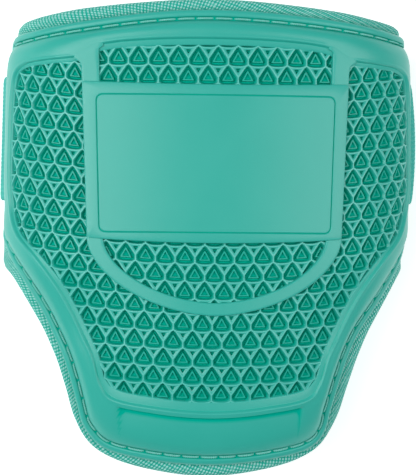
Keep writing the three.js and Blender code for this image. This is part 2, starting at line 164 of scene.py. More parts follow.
def wrap(points):
    """Pattern points in millimetres, put on the guard in metres, each at its level along the normal."""
    across, along, level = np.asarray(points, float).T
    sideways = surface(across + SLOPE_STEP, along) - surface(across - SLOPE_STEP, along)
    lengthways = surface(across, along + SLOPE_STEP) - surface(across, along - SLOPE_STEP)
    normal = np.cross(sideways, lengthways)
    normal /= np.linalg.norm(normal, axis=1)[:, None]
    return (surface(across, along) + normal * level[:, None]) * MM


print("front of the guard", wrap([(0, 20, 0)]).round(4))

# %% [markdown]
# ## Outlines
#
# The seam, the edge of the lattice field and the edge of the pad are smooth closed lines. They could be
# drawn as Bezier curves over the photograph. Here each is a short table of its right half, mirrored, with
# a smooth curve through it, because a table can be read and corrected point by point.

# %% Outline tables
SEAM = [
    (0, 76.4), (30, 74.9), (57, 71.9), (69, 70.2), (80, 68.7), (87.2, 65.8), (89.9, 58.5), (90.5, 36),
    (90.2, 13), (87, 3), (79.6, -4.2), (71.4, -12.2), (63.2, -22.1), (57, -30.4), (51.4, -40.2),
    (47.6, -50.6), (45, -59.8), (42.8, -67.2), (38.2, -72.2), (22, -76.2), (0, -78),
]
PAD_EDGE = [
    (0, 83.6), (30, 81.9), (60, 78.4), (90, 73.8), (102, 69.5), (107, 62), (107.2, 34), (107.62, 2),
    (104, -6.5), (94.6, -10.3), (82.8, -15.2), (67.4, -31), (60.5, -42), (55.6, -55), (52, -66.2),
    (45.8, -75), (35.6, -80.7), (20, -84.8), (0, -87),
]
FIELD_EDGE = [
    (0, 69.3), (20, 68.9), (36, 67.6), (42.3, 66.2), (46.8, 63.2), (51, 62.3), (60, 61.6), (69.2, 60.2),
    (73.6, 57.2), (75.9, 50), (77.3, 36), (77.4, 24), (76.8, 14), (75.4, 7), (71.8, 0.6), (63.5, -7.1),
    (55.8, -16.5), (50.6, -25), (46, -34), (42.4, -41.3), (39.4, -51.2), (36, -55.8), (20, -59.4), (0, -61),
]
CURVE_STEPS = 24


def both_halves(half):
    return np.array(half + [(-across, along) for across, along in half[-2:0:-1]], float)


def root_gap(start, end):
    return np.linalg.norm(end - start, axis=1)[:, None] ** 0.5


def smooth_outline(half):
    """A closed curve through both halves of a table, with even bends at uneven knots."""
    knots = both_halves(half)
    before, after, next_one = (np.roll(knots, shift, axis=0) for shift in (1, -1, -2))
    first, middle, last = root_gap(before, knots), root_gap(knots, after), root_gap(after, next_one)
    leave = (knots - before) / first - (after - before) / (first + middle) + (after - knots) / middle
    arrive = (after - knots) / middle - (next_one - knots) / (middle + last) + (next_one - after) / last
    t = np.linspace(0, 1, CURVE_STEPS, endpoint=False)[:, None, None]
    from_knot = (2 * t**3 - 3 * t**2 + 1) * knots + (t**3 - 2 * t**2 + t) * leave * middle
    to_next = (3 * t**2 - 2 * t**3) * after + (t**3 - t**2) * arrive * middle
    return (from_knot + to_next).transpose(1, 0, 2).reshape(-1, 2)


print("knots: seam", len(SEAM), "pad", len(PAD_EDGE), "field", len(FIELD_EDGE))

# %% [markdown]
# Every ring of a piece needs the same number of points, so that ring after ring can be joined with clean
# four-sided faces. The seam is stepped evenly, as a tailor marks a hem. Spokes from a hub through those
# steps then mark the other lines.

# %% Lines on shared spokes
HUB = np.array((0.0, 10.0))
SPOKES = 560
FULL_TURN = 2 * math.pi
# The seam was sewn a little low at the upper left, and a little left of the middle round the tongue.
SEAM_DROP = {"most": 1.4, "across": (-8, -60), "above": 60}
SEAM_SHIFT = {"most": 1.2, "upper_fade": (-20, -35), "lower_fade": (-72, -62)}


def even_steps(line, count):
    closed = np.vstack([line, line[:1]])
    length = np.concatenate([[0], np.cumsum(np.linalg.norm(np.diff(closed, axis=0), axis=1))])
    wanted = np.linspace(0, length[-1], count, endpoint=False)
    return np.stack([np.interp(wanted, length, closed[:, i]) for i in (0, 1)], 1), length[-1]


def spoke_angles(line):
    across, along = (line - HUB).T
    return np.arctan2(along, across)


def at_spokes(line):
    spoke = spoke_angles(seam)
    reach = np.interp(spoke, spoke_angles(line), np.linalg.norm(line - HUB, axis=1), period=FULL_TURN)
    return HUB + reach[:, None] * np.stack([np.cos(spoke), np.sin(spoke)], 1)


def outward(line):
    """The direction out of a closed line at each of its points."""
    run = np.roll(line, -1, axis=0) - np.roll(line, 1, axis=0)
    run /= np.linalg.norm(run, axis=1)[:, None]
    return np.stack([-run[:, 1], run[:, 0]], 1)


sewn = smooth_outline(SEAM)
dropped = between(*SEAM_DROP["across"], sewn[:, 0]) * (sewn[:, 1] > SEAM_DROP["above"])
sewn[:, 1] -= SEAM_DROP["most"] * dropped
upper_fade = between(*SEAM_SHIFT["upper_fade"], sewn[:, 1])
lower_fade = between(*SEAM_SHIFT["lower_fade"], sewn[:, 1])
sewn[:, 0] -= SEAM_SHIFT["most"] * upper_fade * lower_fade
seam, seam_length = even_steps(sewn, SPOKES)
seam_out = outward(seam)
field = at_spokes(smooth_outline(FIELD_EDGE))
field_out = outward(field)
pad_edge = at_spokes(smooth_outline(PAD_EDGE))
print("seam", round(seam_length), "mm long")

# %% [markdown]
# ## One helper: extrude a loop, ring after ring
#
# By hand, a tube or a dish is drawn by adding a circle, extruding its edge and placing each new loop.
# This helper does the same. It numbers the circle's points, so that every extruded loop can be put in
# place, and it can fill the two ends or join the last loop to the first. A mesh built from lists of faces
# would do too, but extruding keeps every joint between two rings closed without any counting.

# %% Ring helper
MERGE = 1e-6


def number_points(piece):
    """Gives the circle's points their spoke numbers, which extruded copies keep."""
    mesh = bmesh.from_edit_mesh(piece.data)
    mesh.verts.layers.int.new("ring")
    mesh.verts.layers.int.new("spoke")
    spoke = mesh.verts.layers.int["spoke"]
    for number, vertex in enumerate(mesh.verts):
        vertex[spoke] = number
    bmesh.update_edit_mesh(piece.data)


def place_selected(piece, places, number):
    mesh = bmesh.from_edit_mesh(piece.data)
    spoke, ring_number = (mesh.verts.layers.int[layer] for layer in ("spoke", "ring"))
    for vertex in mesh.verts:
        if vertex.select:
            vertex.co = places[vertex[spoke]]
            vertex[ring_number] = number
    bmesh.update_edit_mesh(piece.data)


def draw_rings(name, rings, fill_first=False, fill_last=False, join_ends=False, merge=MERGE):
    bpy.ops.object.select_all(action="DESELECT")
    first_fill = "NGON" if fill_first else "NOTHING"
    bpy.ops.mesh.primitive_circle_add(vertices=len(rings[0]), fill_type=first_fill, enter_editmode=True)
    piece = bpy.context.object
    piece.name = piece.data.name = name
    number_points(piece)
    bpy.ops.mesh.select_all(action="SELECT")
    place_selected(piece, rings[0], 0)
    later_rings = [*rings[1:], rings[0]] if join_ends else rings[1:]
    for number, places in enumerate(later_rings, 1):
        bpy.ops.mesh.extrude_edges_move(TRANSFORM_OT_translate={"value": (0, 0, 0)})
        place_selected(piece, places, number)
    if fill_last:
        bpy.ops.mesh.edge_face_add()
    bpy.ops.mesh.select_all(action="SELECT")
    bpy.ops.mesh.remove_doubles(threshold=merge)
    bpy.ops.mesh.normals_make_consistent(inside=False)
    bpy.ops.object.mode_set(mode="OBJECT")
    return piece


print("points nearer than", MERGE / MM, "mm are merged")

# %% [markdown]
# Moulded rubber and cloth have soft bends, but the rubber also has crisp edges. Smooth shading with an angle
# keeps both: an edge that turns more than the angle stays sharp. Each kind of piece gets its own angle.

# %% Finishing helper
RUBBER_SMOOTH = 50
LATTICE_SMOOTH = 35
SOFT_SMOOTH = 60


def only(piece):
    """Selects this piece alone and makes it the active one."""
    bpy.ops.object.select_all(action="DESELECT")
    piece.select_set(True)
    bpy.context.view_layer.objects.active = piece


def finish_mesh(piece, angle):
    """Shades a piece smooth, apart from edges that turn by more than the angle in degrees."""
    only(piece)
    bpy.ops.object.shade_smooth_by_angle(angle=math.radians(angle))
    triangles = sum(len(face.vertices) - 2 for face in piece.data.polygons)
    print(piece.name, triangles, "triangles")
    return piece


def ring(line, level):
    """One ring of a piece: a flat line at one level or at a level for each point, on the guard."""
    return wrap(np.column_stack([line, np.broadcast_to(level, len(line))]))


print("edges stay sharp past", RUBBER_SMOOTH, LATTICE_SMOOTH, "and", SOFT_SMOOTH, "degrees")

# %% [markdown]
# ## The border
#
# The border is the smooth frame of the shell: a lip round the lattice, a plain band, a shoulder that falls
# to the stitch groove, and the flange outside it. A bevelled curve could follow the outline, but its
# section would stay the same all round. Here the section is a table of steps that may widen and sink on
# the way, so the sunk lower plate is part of the same surface.

# %% Border sizes
BORDER_LEVEL = 1.0
BORDER_BACK = -3.8
BACK_INSET = 0.2
WALL_FOOT = -3.4
LOWER_PLATE = {"half_width": 33.4, "sunk": 1.4, "bottom": -74, "bottom_bow": 0.006, "side_fade": 2.6}
# The lip is flattened where the two bars cross it.
BAR_CROSSING = {"from": 38, "to": 50.5, "fade": 2, "above": 60, "drop": 0.04}
# The apron is a low ledge inside the lip, over the lattice's cut edge. It is drawn from the lattice outwards.
# Columns: share of its width, distance in, level.
APRON = [(1, 0, WALL_FOOT), (1, 0, -0.35), (1, -0.12, -0.06), (1, -0.35, 0.08), (0, 0.4, 0.12)]
# Rows: places along the guard, and the apron's width there.
APRON_WIDTHS = ((-62, -56, -50, -15, 0, 58, 63, 66), (3.3, 3.3, 1.9, 1.9, 0.9, 0.9, 1.8, 2.4))
# Columns: distance out from the field's edge, largest share of the band, level.
LIP = [(-0.15, 0, 0.2), (0.05, 0.01, 0.55), (0.25, 0.04, 0.9), (0.55, 0.1, 1.12), (0.95, 0.18, 1.14),
       (1.4, 0.3, 1.02)]
# The step down to the lower plate: distance out from the field's edge, largest share of the band.
PLATE_RIM = (2.0, 0.5)
PLATE_FOOT = (2.25, 0.55)
BAND_SHARES = [0.05, 0.2, 0.4, 0.55, 0.7, 0.8, 0.88, 0.94, 1.0]
BAND_FALL = 2.0
BAND_FALL_POWER = 2.8
GROOVE_EDGE = -0.8
# Columns: distance out from the seam, level, depth of painted shade in the crease.
FLANGE = [(-0.65, -1.4, -0.9), (-0.5, -1.9, -1.4), (0.5, -1.9, -1.4), (0.65, -1.4, -0.9), (0.85, -1.12, 0),
          (1.15, -1.0, 0), (2.1, -1.05, 0), (2.7, -1.3, 0), (3.08, -1.8, 0), (3.2, -2.5, -0.9),
          (2.95, -3.5, -1.4), (2.3, BORDER_BACK, -1.4), (-3, BORDER_BACK, -1.4)]
groove_edge = seam + GROOVE_EDGE * seam_out
band = groove_edge - field
band_width = np.linalg.norm(band, axis=1)
print("band from", band_width.min().round(1), "to", band_width.max().round(1), "mm wide")

# %% Border
def out_from_field(distance, largest_share):
    return field + band * np.minimum(distance / band_width, largest_share)[:, None]


def plate_dip(line):
    """How far the lower plate is sunk at each point: most at its top, nothing at its foot and sides."""
    across, along = line.T
    side = LOWER_PLATE["half_width"] - np.abs(across)
    foot = LOWER_PLATE["bottom"] + LOWER_PLATE["bottom_bow"] * across**2
    ramp = np.clip((along - foot) / np.where(along < 0, step_line[:, 1] - foot, 1), 0, 1)
    return LOWER_PLATE["sunk"] * between(0, LOWER_PLATE["side_fade"], side) * ramp * (along < 0)


field_across = np.abs(field[:, 0])
by_bar = between(BAR_CROSSING["from"], BAR_CROSSING["from"] + BAR_CROSSING["fade"], field_across)
by_bar = by_bar * between(BAR_CROSSING["to"], BAR_CROSSING["to"] - BAR_CROSSING["fade"], field_across)
by_bar = by_bar * (field[:, 1] > BAR_CROSSING["above"])
step_line = out_from_field(*PLATE_FOOT)
apron = np.interp(field[:, 1], *APRON_WIDTHS)
border_rings = []
for share, distance, level in APRON:
    border_rings.append(ring(field - (apron * share + distance)[:, None] * field_out, level))
for distance, share, level in LIP:
    flat = np.minimum(level, BORDER_LEVEL - BAR_CROSSING["drop"])
    border_rings.append(ring(out_from_field(distance, share), level + (flat - level) * by_bar))
border_rings.append(ring(out_from_field(*PLATE_RIM), BORDER_LEVEL))
plate_foot = len(border_rings)
border_rings.append(ring(step_line, BORDER_LEVEL - plate_dip(step_line)))
band_lines = [step_line + (groove_edge - step_line) * share for share in BAND_SHARES]
for line, share in zip(band_lines, BAND_SHARES):
    fall = BAND_FALL * share**BAND_FALL_POWER
    border_rings.append(ring(line, BORDER_LEVEL - fall - plate_dip(line)))
flange = len(border_rings)
border_rings += [ring(seam + distance * seam_out, level) for distance, level, _ in FLANGE]
border_rings.append(ring(field - BACK_INSET * field_out, BORDER_BACK))
border = finish_mesh(draw_rings("shell_border", border_rings, join_ends=True), RUBBER_SMOOTH)

# %% [markdown]
# Creases look deeper in colour than open rubber, because less light gets out of them, so that shade is
# painted into the colour here. An occlusion node could find them in the shader, but it darkens everything
# that lies near something else. Here only the real creases carry a depth for painted shade: the foot of the
# lip, the top and side edges of the lower plate, the groove.

# %% Painted shade in the creases of the border
# Depths of painted shade at the foot of the lip and at the top edge of the lower plate.
LIP_CREASE_SHADE = -0.85
PLATE_TOP_CREASE_SHADE = -1.4
# The painted shade in the crease at the lower plate's sides: its depth, its width, its fades as shares of
# that, and its rings.
PLATE_SIDE_CREASE_SHADE = {"depth": -1.3, "width": 2.6, "fade_in": (0, 0.4), "fade_out": (1, 0.6), "rings": 6}


def layer_of(piece, name):
    values = np.empty(len(piece.data.vertices), np.int32)
    piece.data.attributes[name].data.foreach_get("value", values)
    return values


# The depth attribute sets where the rubber gets painted shade or a painted highlight.
def set_depth(piece, values):
    depth = piece.data.attributes.new("depth", "FLOAT", "POINT")
    depth.data.foreach_set("value", np.asarray(values, np.float32))


def side_crease_shade(line, share):
    inside = (LOWER_PLATE["half_width"] - np.abs(line[:, 0])) / PLATE_SIDE_CREASE_SHADE["width"]
    fade = between(*PLATE_SIDE_CREASE_SHADE["fade_in"], inside) * between(*PLATE_SIDE_CREASE_SHADE["fade_out"], inside)
    return (PLATE_SIDE_CREASE_SHADE["depth"] + share) * fade * (line[:, 1] < 0)


shade_depths = np.zeros((len(border_rings), SPOKES))
shade_depths[len(APRON)] = LIP_CREASE_SHADE * (1 - by_bar)
shade_depths[plate_foot:plate_foot + 2] = PLATE_TOP_CREASE_SHADE * plate_dip(step_line) / LOWER_PLATE["sunk"]
for number in range(PLATE_SIDE_CREASE_SHADE["rings"]):
    row = plate_foot + 1 + number
    shade_depths[row] = np.minimum(shade_depths[row], side_crease_shade(band_lines[number], BAND_SHARES[number]))
shade_depths[flange:flange + len(FLANGE)] = np.array([depth for _, _, depth in FLANGE])[:, None]
set_depth(border, shade_depths[layer_of(border, "ring") % len(border_rings), layer_of(border, "spoke")])
print("creases at", np.count_nonzero(shade_depths), "points, plate sunk", LOWER_PLATE["sunk"], "mm")

# %% [markdown]
# ## Bars and U band
#
# Two upright bars and the U-shaped band that joins them carry the front plate. On the guard they are one
# raised strip. It could be a curve with a bevel object, but the strip flares where it runs into the border
# and sinks there. So its small section is drawn anew at each step down one bar, round the U and up the
# other, from the strip's outer and inner edge.

# %% Edges of the strip
FRONT_SHIFT = (0.6, 0)
BAR_TOP = 71
# A bar's edge: its distance from the middle line at the foot, and how much it leans out.
BAR_OUTER = (45, 0.04)
BAR_INNER = (39.3, 0.03)
U_DEPTHS = (27.3, 22.8)
U_POWER = 1.8
# The bars flare into the border: where the flare ends, and its radius, outside and inside.
FLARE_OUTER = (61.6, 2.5)
FLARE_INNER = (66.2, -1.6)
BAR_STEPS = 90
U_STEPS = 110


def strip_edge(bar, depth, flare):
    foot, lean = bar
    end, radius = flare
    along = np.linspace(BAR_TOP, 0, BAR_STEPS, endpoint=False)
    rise = np.clip(along - end + abs(radius), 0, abs(radius))
    flared = math.copysign(1, radius) * (abs(radius) - np.sqrt(radius**2 - rise**2))
    upright = np.stack([foot + lean * along + flared, along], 1)
    angle = np.linspace(0, math.pi, U_STEPS)
    across = foot * np.sign(np.cos(angle)) * np.abs(np.cos(angle)) ** (2 / U_POWER)
    bowl = np.stack([across, -depth * np.abs(np.sin(angle)) ** (2 / U_POWER)], 1)
    return np.vstack([upright, bowl, upright[::-1] * (-1, 1)]) + FRONT_SHIFT


outer_edge = strip_edge(BAR_OUTER, U_DEPTHS[0], FLARE_OUTER)
inner_edge = strip_edge(BAR_INNER, U_DEPTHS[1], FLARE_INNER)
strip_width = np.linalg.norm(outer_edge - inner_edge, axis=1)
print("strip from", strip_width.min().round(1), "to", strip_width.max().round(1), "mm wide")

# %% Bars and band
STRIP_LEVEL = 0.95
# The bars swell a little and then sink into the border: how much, and from where to where past its edge.
BAR_RISE = (0.08, -9, -2)
BAR_SINKS = [(0.35, -1, 6), (3.0, 2.5, 6)]
STRIP_EDGE = 0.4
# The round edge of the strip's section. Columns: share of the edge inwards, and downwards.
STRIP_ROUND = [(0, 1), (0.3, 0.3), (1, 0)]
STRIP_FLAT = [(share, 0) for share in (0.2, 0.4, 0.6, 0.8)]
FIELD_TOP_FROM = 50


def strip_top(place):
    past = place[1] - np.interp(abs(place[0]), *field_top)
    sink = sum(depth * between(start, end, past) for depth, start, end in BAR_SINKS)
    return STRIP_LEVEL + BAR_RISE[0] * between(*BAR_RISE[1:], past) - sink


def strip_section(outer, inner):
    edge = STRIP_EDGE / np.linalg.norm(outer - inner)
    half = [(0, WALL_FOOT)] + [(inwards * edge, -down * STRIP_EDGE) for inwards, down in STRIP_ROUND]
    other_half = [(1 - share, level) for share, level in reversed(half)]
    corners = []
    for share, level in half + STRIP_FLAT + other_half:
        place = outer + (inner - outer) * share
        corners.append((*place, level if level == WALL_FOOT else level + strip_top(place)))
    return wrap(corners)


upper_right = field[(field[:, 0] > 0) & (field[:, 1] > FIELD_TOP_FROM)]
field_top = upper_right[np.argsort(upper_right[:, 0])].T
strip_sections = [strip_section(outer, inner) for outer, inner in zip(outer_edge, inner_edge)]
bars = draw_rings("shell_bars", strip_sections, fill_first=True, fill_last=True)
finish_mesh(bars, RUBBER_SMOOTH)

# %% [markdown]
# ## Front plate
#
# The plain front plate sits on the bars. A thin groove frames it, with round corners. A groove could be cut
# with a Boolean, but a cut leaves ragged faces on a curved plate. Here the plate is drawn in rings, from
# the middle of its back, round its edge, through the groove, to the middle of its front.

# %% Frames with round corners
PLATE = {"bottom": -2, "top": 53.3, "half_width": 44.9, "lean": 0.04, "bow": 0.0008, "corner": 0.6}
GROOVE = {"bottom": 1.7, "top": 49.6, "half_width": 40.5, "lean": 0.03, "bow": 0, "corner": 2.2}
TOP_BOW_SHARE = 0.5
LEAST_CORNER = 0.05
CORNER_STEPS = 9
PLATE_POINTS = 240


def rounded_frame(size, grow):
    """A frame's outline, grown outwards, with sides that lean and ends that bow."""
    right = size["half_width"] + grow
    corner = max(size["corner"] + grow, LEAST_CORNER)
    top, bottom = size["top"] + grow, size["bottom"] - grow
    quarter = np.linspace(0, math.pi / 2, CORNER_STEPS)
    centres = [(right - corner, top - corner), (corner - right, top - corner),
               (corner - right, bottom + corner), (right - corner, bottom + corner)]
    arcs = []
    for number, (x, y) in enumerate(centres):
        angle = quarter + number * math.pi / 2
        arcs.append(np.stack([x + corner * np.cos(angle), y + corner * np.sin(angle)], 1))
    line, _ = even_steps(np.vstack(arcs), PLATE_POINTS)
    line[:, 0] += size["lean"] * line[:, 1] * line[:, 0] / right
    line[:, 1] += size["bow"] * line[:, 0] ** 2 * np.where(line[:, 1] < GROOVE["top"] / 2, 1, TOP_BOW_SHARE)
    return line + FRONT_SHIFT


print("plate", 2 * PLATE["half_width"], "by", PLATE["top"] - PLATE["bottom"], "mm")

# %% Front plate
PLATE_LEVEL = 1.4
# The plate's round edge. Columns: distance in, distance below the plate's face.
PLATE_ROUND = [(0, 0.35), (0.1, 0.1), (0.35, 0)]
# Columns: distance out from the groove's middle line, level, depth of painted shade in the crease.
GROOVE_SECTION = [(0.9, 1.4, 0), (0.5, 1.4, 0), (0.34, 1.4, 0), (0.22, 1.34, -0.5), (0.1, 1.05, -1.1),
                  (-0.1, 1.05, -1.1), (-0.22, 1.34, -0.5), (-0.34, 1.4, 0), (-0.5, 1.4, 0), (-0.9, 1.4, 0)]
PLATE_SHARES = [0.93, 0.8, 0.64, 0.46, 0.26, 0.08]

plate_middle = np.array((0, (GROOVE["top"] + GROOVE["bottom"]) / 2))
edge_line = rounded_frame(PLATE, 0)
inner_line = rounded_frame(GROOVE, GROOVE_SECTION[-1][0])
plate_rings = []
for share in reversed(PLATE_SHARES):
    plate_rings.append(ring(plate_middle + (edge_line - plate_middle) * share, WALL_FOOT))
plate_rings.append(ring(edge_line, WALL_FOOT))
plate_rings += [ring(rounded_frame(PLATE, -inwards), PLATE_LEVEL - below) for inwards, below in PLATE_ROUND]
groove = len(plate_rings)
plate_rings += [ring(rounded_frame(GROOVE, out), level) for out, level, _ in GROOVE_SECTION]
for share in PLATE_SHARES:
    plate_rings.append(ring(plate_middle + (inner_line - plate_middle) * share, PLATE_LEVEL))
plate = draw_rings("shell_plate", plate_rings, fill_first=True, fill_last=True)
finish_mesh(plate, RUBBER_SMOOTH)
shade_depths = np.zeros(len(plate_rings))
shade_depths[groove:groove + len(GROOVE_SECTION)] = [depth for _, _, depth in GROOVE_SECTION]
set_depth(plate, shade_depths[layer_of(plate, "ring")])

# %% [markdown]
# ## The lattice
#
# The lattice fields are rows of rounded triangular pockets with a raised ring in each, and a dimple
# between neighbours. Pockets could be a bump in the material, but they are millimetres deep and show their
# walls. So one pocket and one dimple are drawn flat, doubled to a pair of rows, and repeated with Array
# modifiers. A Boolean cuts the field to shape while it is still flat, and then it is wrapped.

# %% Outlines of one pocket and one dimple
CELL_PITCH = 6.9
CELL_HEIGHT = 6.0
RIB_SHARE = 0.8
LEDGE_SHARE = 0.6
# Right halves, from the middle of the base to the top: the ribs' middle line round a pocket, the pocket's
# rim, the ring that stands in it, and the same for the dimple in the cell between two pockets.
CELL_HALF = [(0, -0.45), (1.15, -0.42), (2.3, -0.25), (3.45, 0.2), (3.45, 1.2), (3.45, 2.2), (2.85, 2.95),
             (2.2, 3.85), (1.55, 4.75), (0.85, 5.65), (0, 6.2)]
RIM_HALF = [(0, 0), (1.15, 0.01), (2.2, 0.13), (2.84, 0.6), (3.02, 1.25), (2.99, 2.05), (2.5, 2.76),
            (1.85, 3.68), (1.2, 4.6), (0.55, 5.45), (0, 5.78)]
CREST_HALF = [(0, 1.15), (0.58, 1.15), (1.16, 1.15), (1.66, 1.16), (1.74, 1.3), (1.5, 1.72), (1.2, 2.25),
              (0.9, 2.78), (0.6, 3.31), (0.28, 3.87), (0, 4.2)]
CREST_MIDDLE = np.array((0, 2.15))
GAP_HALF = [(0, 5.55), (1.15, 5.58), (2.3, 5.75), (3.45, 6.2), (2.6, 5.65), (1.9, 4.75), (1.25, 3.85),
            (0.6, 2.95), (0, 2.2)]
DIMPLE_HALF = [(0, 5.02), (0.45, 5.02), (0.76, 4.98), (0.84, 4.85), (0.72, 4.6), (0.52, 4.28), (0.31, 3.95),
               (0.14, 3.74), (0, 3.68)]
DIMPLE_MIDDLE = np.array((0, 4.55))


def cell_lines(height):
    """The outlines of a pocket and of the dimple beside it, stretched to a row height."""
    stretch = np.array((1, height / CELL_HEIGHT))
    aside = np.array((CELL_PITCH / 2, 0))
    cell, rim, crest = (both_halves(half) * stretch for half in (CELL_HALF, RIM_HALF, CREST_HALF))
    gap, dimple = (both_halves(half) * stretch + aside for half in (GAP_HALF, DIMPLE_HALF))
    rim = cell + (rim - cell) * RIB_SHARE
    return {
        "cell": cell, "ledge": cell + (rim - cell) * LEDGE_SHARE, "rim": rim, "crest": crest,
        "gap": gap, "slope": gap + (dimple - gap) * LEDGE_SHARE, "dimple": dimple,
        "pocket_middle": CREST_MIDDLE * stretch, "dimple_middle": DIMPLE_MIDDLE * stretch + aside,
    }


print("cell", CELL_PITCH, "by", CELL_HEIGHT, "mm")

# %% One pocket and one dimple
FLAT_MERGE = 0.004
LATTICE_BACK = -3.3
RING_TOP = -0.65
# Columns: outline, its size as a share round the middle, level.
POCKET_STEPS = [("cell", 1, 0), ("ledge", 1, -0.05), ("rim", 1, -0.3), ("rim", 0.93, -0.9),
                ("rim", 0.8, -1.9), ("crest", 1.26, -1.9), ("crest", 1.17, -0.95),
                ("crest", 1.07, RING_TOP), ("crest", 0.74, RING_TOP), ("crest", 0.5, -1.5)]
DIMPLE_STEPS = [("gap", 1, 0), ("slope", 1, -0.05), ("dimple", 1, -0.25), ("dimple", 0.86, -0.95),
                ("dimple", 0.5, -1.4)]


def at_level(line, level):
    return np.column_stack([line, np.full(len(line), level)])


def draw_hollow(name, steps, lines, middle):
    rings = []
    for outline, share, level in steps:
        line = lines[outline]
        if share != 1:
            line = middle + (line - middle) * share
        rings.append(at_level(line, level))
    return draw_rings(name, rings, fill_last=True, merge=FLAT_MERGE)


def join(pieces):
    only(pieces[0])
    for piece in pieces:
        piece.select_set(True)
    bpy.ops.object.join()
    return bpy.context.object


def draw_cell(name, height):
    """The top of one pocket with its dimple, and the flat back of the same two cells."""
    lines = cell_lines(height)
    pocket = draw_hollow(name, POCKET_STEPS, lines, lines["pocket_middle"])
    dimple = draw_hollow("dimple", DIMPLE_STEPS, lines, lines["dimple_middle"])
    top = join([pocket, dimple])
    backs = []
    for outline in ("cell", "gap"):
        flat = [at_level(lines[outline], LATTICE_BACK)]
        backs.append(draw_rings("back", flat, fill_first=True, merge=FLAT_MERGE))
    return top, join(backs)


print("pocket", -POCKET_STEPS[4][2], "mm deep, dimple", -DIMPLE_STEPS[-1][2], "mm")

# %% [markdown]
# The pair of cells is copied half a pitch aside and one row up, and Array modifiers repeat the two rows.
# The top's open edge is then extruded down to the back, so that the sheet is closed. A Boolean needs that.

# %% A closed sheet of cells
def apply_modifier(piece, kind, **settings):
    only(piece)
    modifier = piece.modifiers.new(kind.title(), kind)
    for name, value in settings.items():
        setattr(modifier, name, value)
    bpy.ops.object.modifier_apply(modifier=modifier.name)


def repeat(piece, count, step):
    apply_modifier(piece, "ARRAY", count=count, use_relative_offset=False, use_constant_offset=True,
                   constant_offset_displace=step)


def merge_all():
    bpy.ops.object.mode_set(mode="EDIT")
    bpy.ops.mesh.select_all(action="SELECT")
    bpy.ops.mesh.remove_doubles(threshold=FLAT_MERGE)


def spread(sheet, rows, columns, height):
    only(sheet)
    bpy.ops.object.mode_set(mode="EDIT")
    bpy.ops.mesh.select_all(action="SELECT")
    bpy.ops.mesh.duplicate_move(TRANSFORM_OT_translate={"value": (-CELL_PITCH / 2, height, 0)})
    bpy.ops.object.mode_set(mode="OBJECT")
    repeat(sheet, columns, (CELL_PITCH, 0, 0))
    repeat(sheet, rows // 2, (0, 2 * height, 0))
    merge_all()
    bpy.ops.object.mode_set(mode="OBJECT")


def lattice_sheet(name, rows, columns, height):
    top, back = draw_cell(name, height)
    for sheet in (top, back):
        spread(sheet, rows, columns, height)
    only(top)
    bpy.ops.object.mode_set(mode="EDIT")
    bpy.ops.mesh.select_all(action="DESELECT")
    bpy.ops.mesh.select_mode(type="EDGE")
    bpy.ops.mesh.select_non_manifold(extend=False)
    bpy.ops.mesh.extrude_edges_move(TRANSFORM_OT_translate={"value": (0, 0, LATTICE_BACK)})
    bpy.ops.mesh.select_mode(type="VERT")
    bpy.ops.object.mode_set(mode="OBJECT")
    sheet = join([top, back])
    merge_all()
    bpy.ops.mesh.normals_make_consistent(inside=False)
    bpy.ops.mesh.select_all(action="DESELECT")
    bpy.ops.mesh.select_non_manifold(extend=False)
    print(name, "open points", sheet.data.total_vert_sel)
    bpy.ops.object.mode_set(mode="OBJECT")
    return sheet


print("sheets are", -LATTICE_BACK, "mm thick")

# %% [markdown]
# Each field is a sheet of cells, bent to its smile, cut by prisms of its outline and then wrapped. The pitch
# drifts a little from the tongue to the upper end, as the photograph's columns do. The height of every point
# is kept as an attribute, which paints shade into the pockets and a highlight on the rib tops; the ring tops
# get a deeper painted shade than their height gives.

# %% Field helper
CUT_LEVELS = (-6, 3)
TONGUE_STRETCH = 0.03
# Rib tops above this level get the painted crest highlight; ring tops get a depth deeper than their height,
# for more painted shade.
RIB_CREST = -0.035
CREST_HIGHLIGHT_DEPTH = 1
RING_SHADE_DEPTH = -0.72
RING_TOLERANCE = 0.01
DRIFT_ROWS = (-50, -25, 5, 40)


def points_of(piece):
    places = np.empty(len(piece.data.vertices) * 3, np.float32)
    piece.data.vertices.foreach_get("co", places)
    return places.reshape(-1, 3).astype(float)


def move_points(piece, places):
    piece.data.vertices.foreach_set("co", np.ascontiguousarray(places, np.float32).ravel())
    piece.data.update()


def drift(along, values):
    return np.interp(along, DRIFT_ROWS, np.broadcast_to(values, len(DRIFT_ROWS)))


def cut(piece, line, operation):
    before = len(piece.data.vertices)
    levels = [at_level(line, level) for level in CUT_LEVELS]
    cutter = draw_rings("cutter", levels, fill_first=True, fill_last=True)
    apply_modifier(piece, "BOOLEAN", operation=operation, solver="MANIFOLD", object=cutter)
    bpy.data.objects.remove(cutter)
    print(piece.name, operation, before, "to", len(piece.data.vertices), "points")


def lattice_field(name, cuts, first_row, height, rows, reach, smile, pitches, shifts):
    piece = lattice_sheet(name, rows, 2 * reach + 1, height)
    places = points_of(piece) - (reach * CELL_PITCH - CELL_PITCH / 2, 0, 0)
    places[:, 1] += first_row
    places[:, 1] -= TONGUE_STRETCH * np.maximum(TONGUE_START - places[:, 1], 0)
    places[:, 0] *= drift(places[:, 1], pitches)
    places[:, 0] += drift(places[:, 1], shifts)
    places[:, 1] += smile * places[:, 0] ** 2
    move_points(piece, places)
    for line, operation in cuts:
        cut(piece, line, operation)
    places = points_of(piece)
    level = places[:, 2]
    # The depth paints shade into the pockets by their height, more of it on the ring tops, and a highlight on
    # the rib tops.
    depth = np.where(np.isclose(level, RING_TOP, atol=RING_TOLERANCE), RING_SHADE_DEPTH, level)
    set_depth(piece, np.where(level > RIB_CREST, CREST_HIGHLIGHT_DEPTH, depth))
    move_points(piece, wrap(places))
    return finish_mesh(piece, LATTICE_SMOOTH)


print("cutters reach from", CUT_LEVELS[0], "to", CUT_LEVELS[1], "mm")

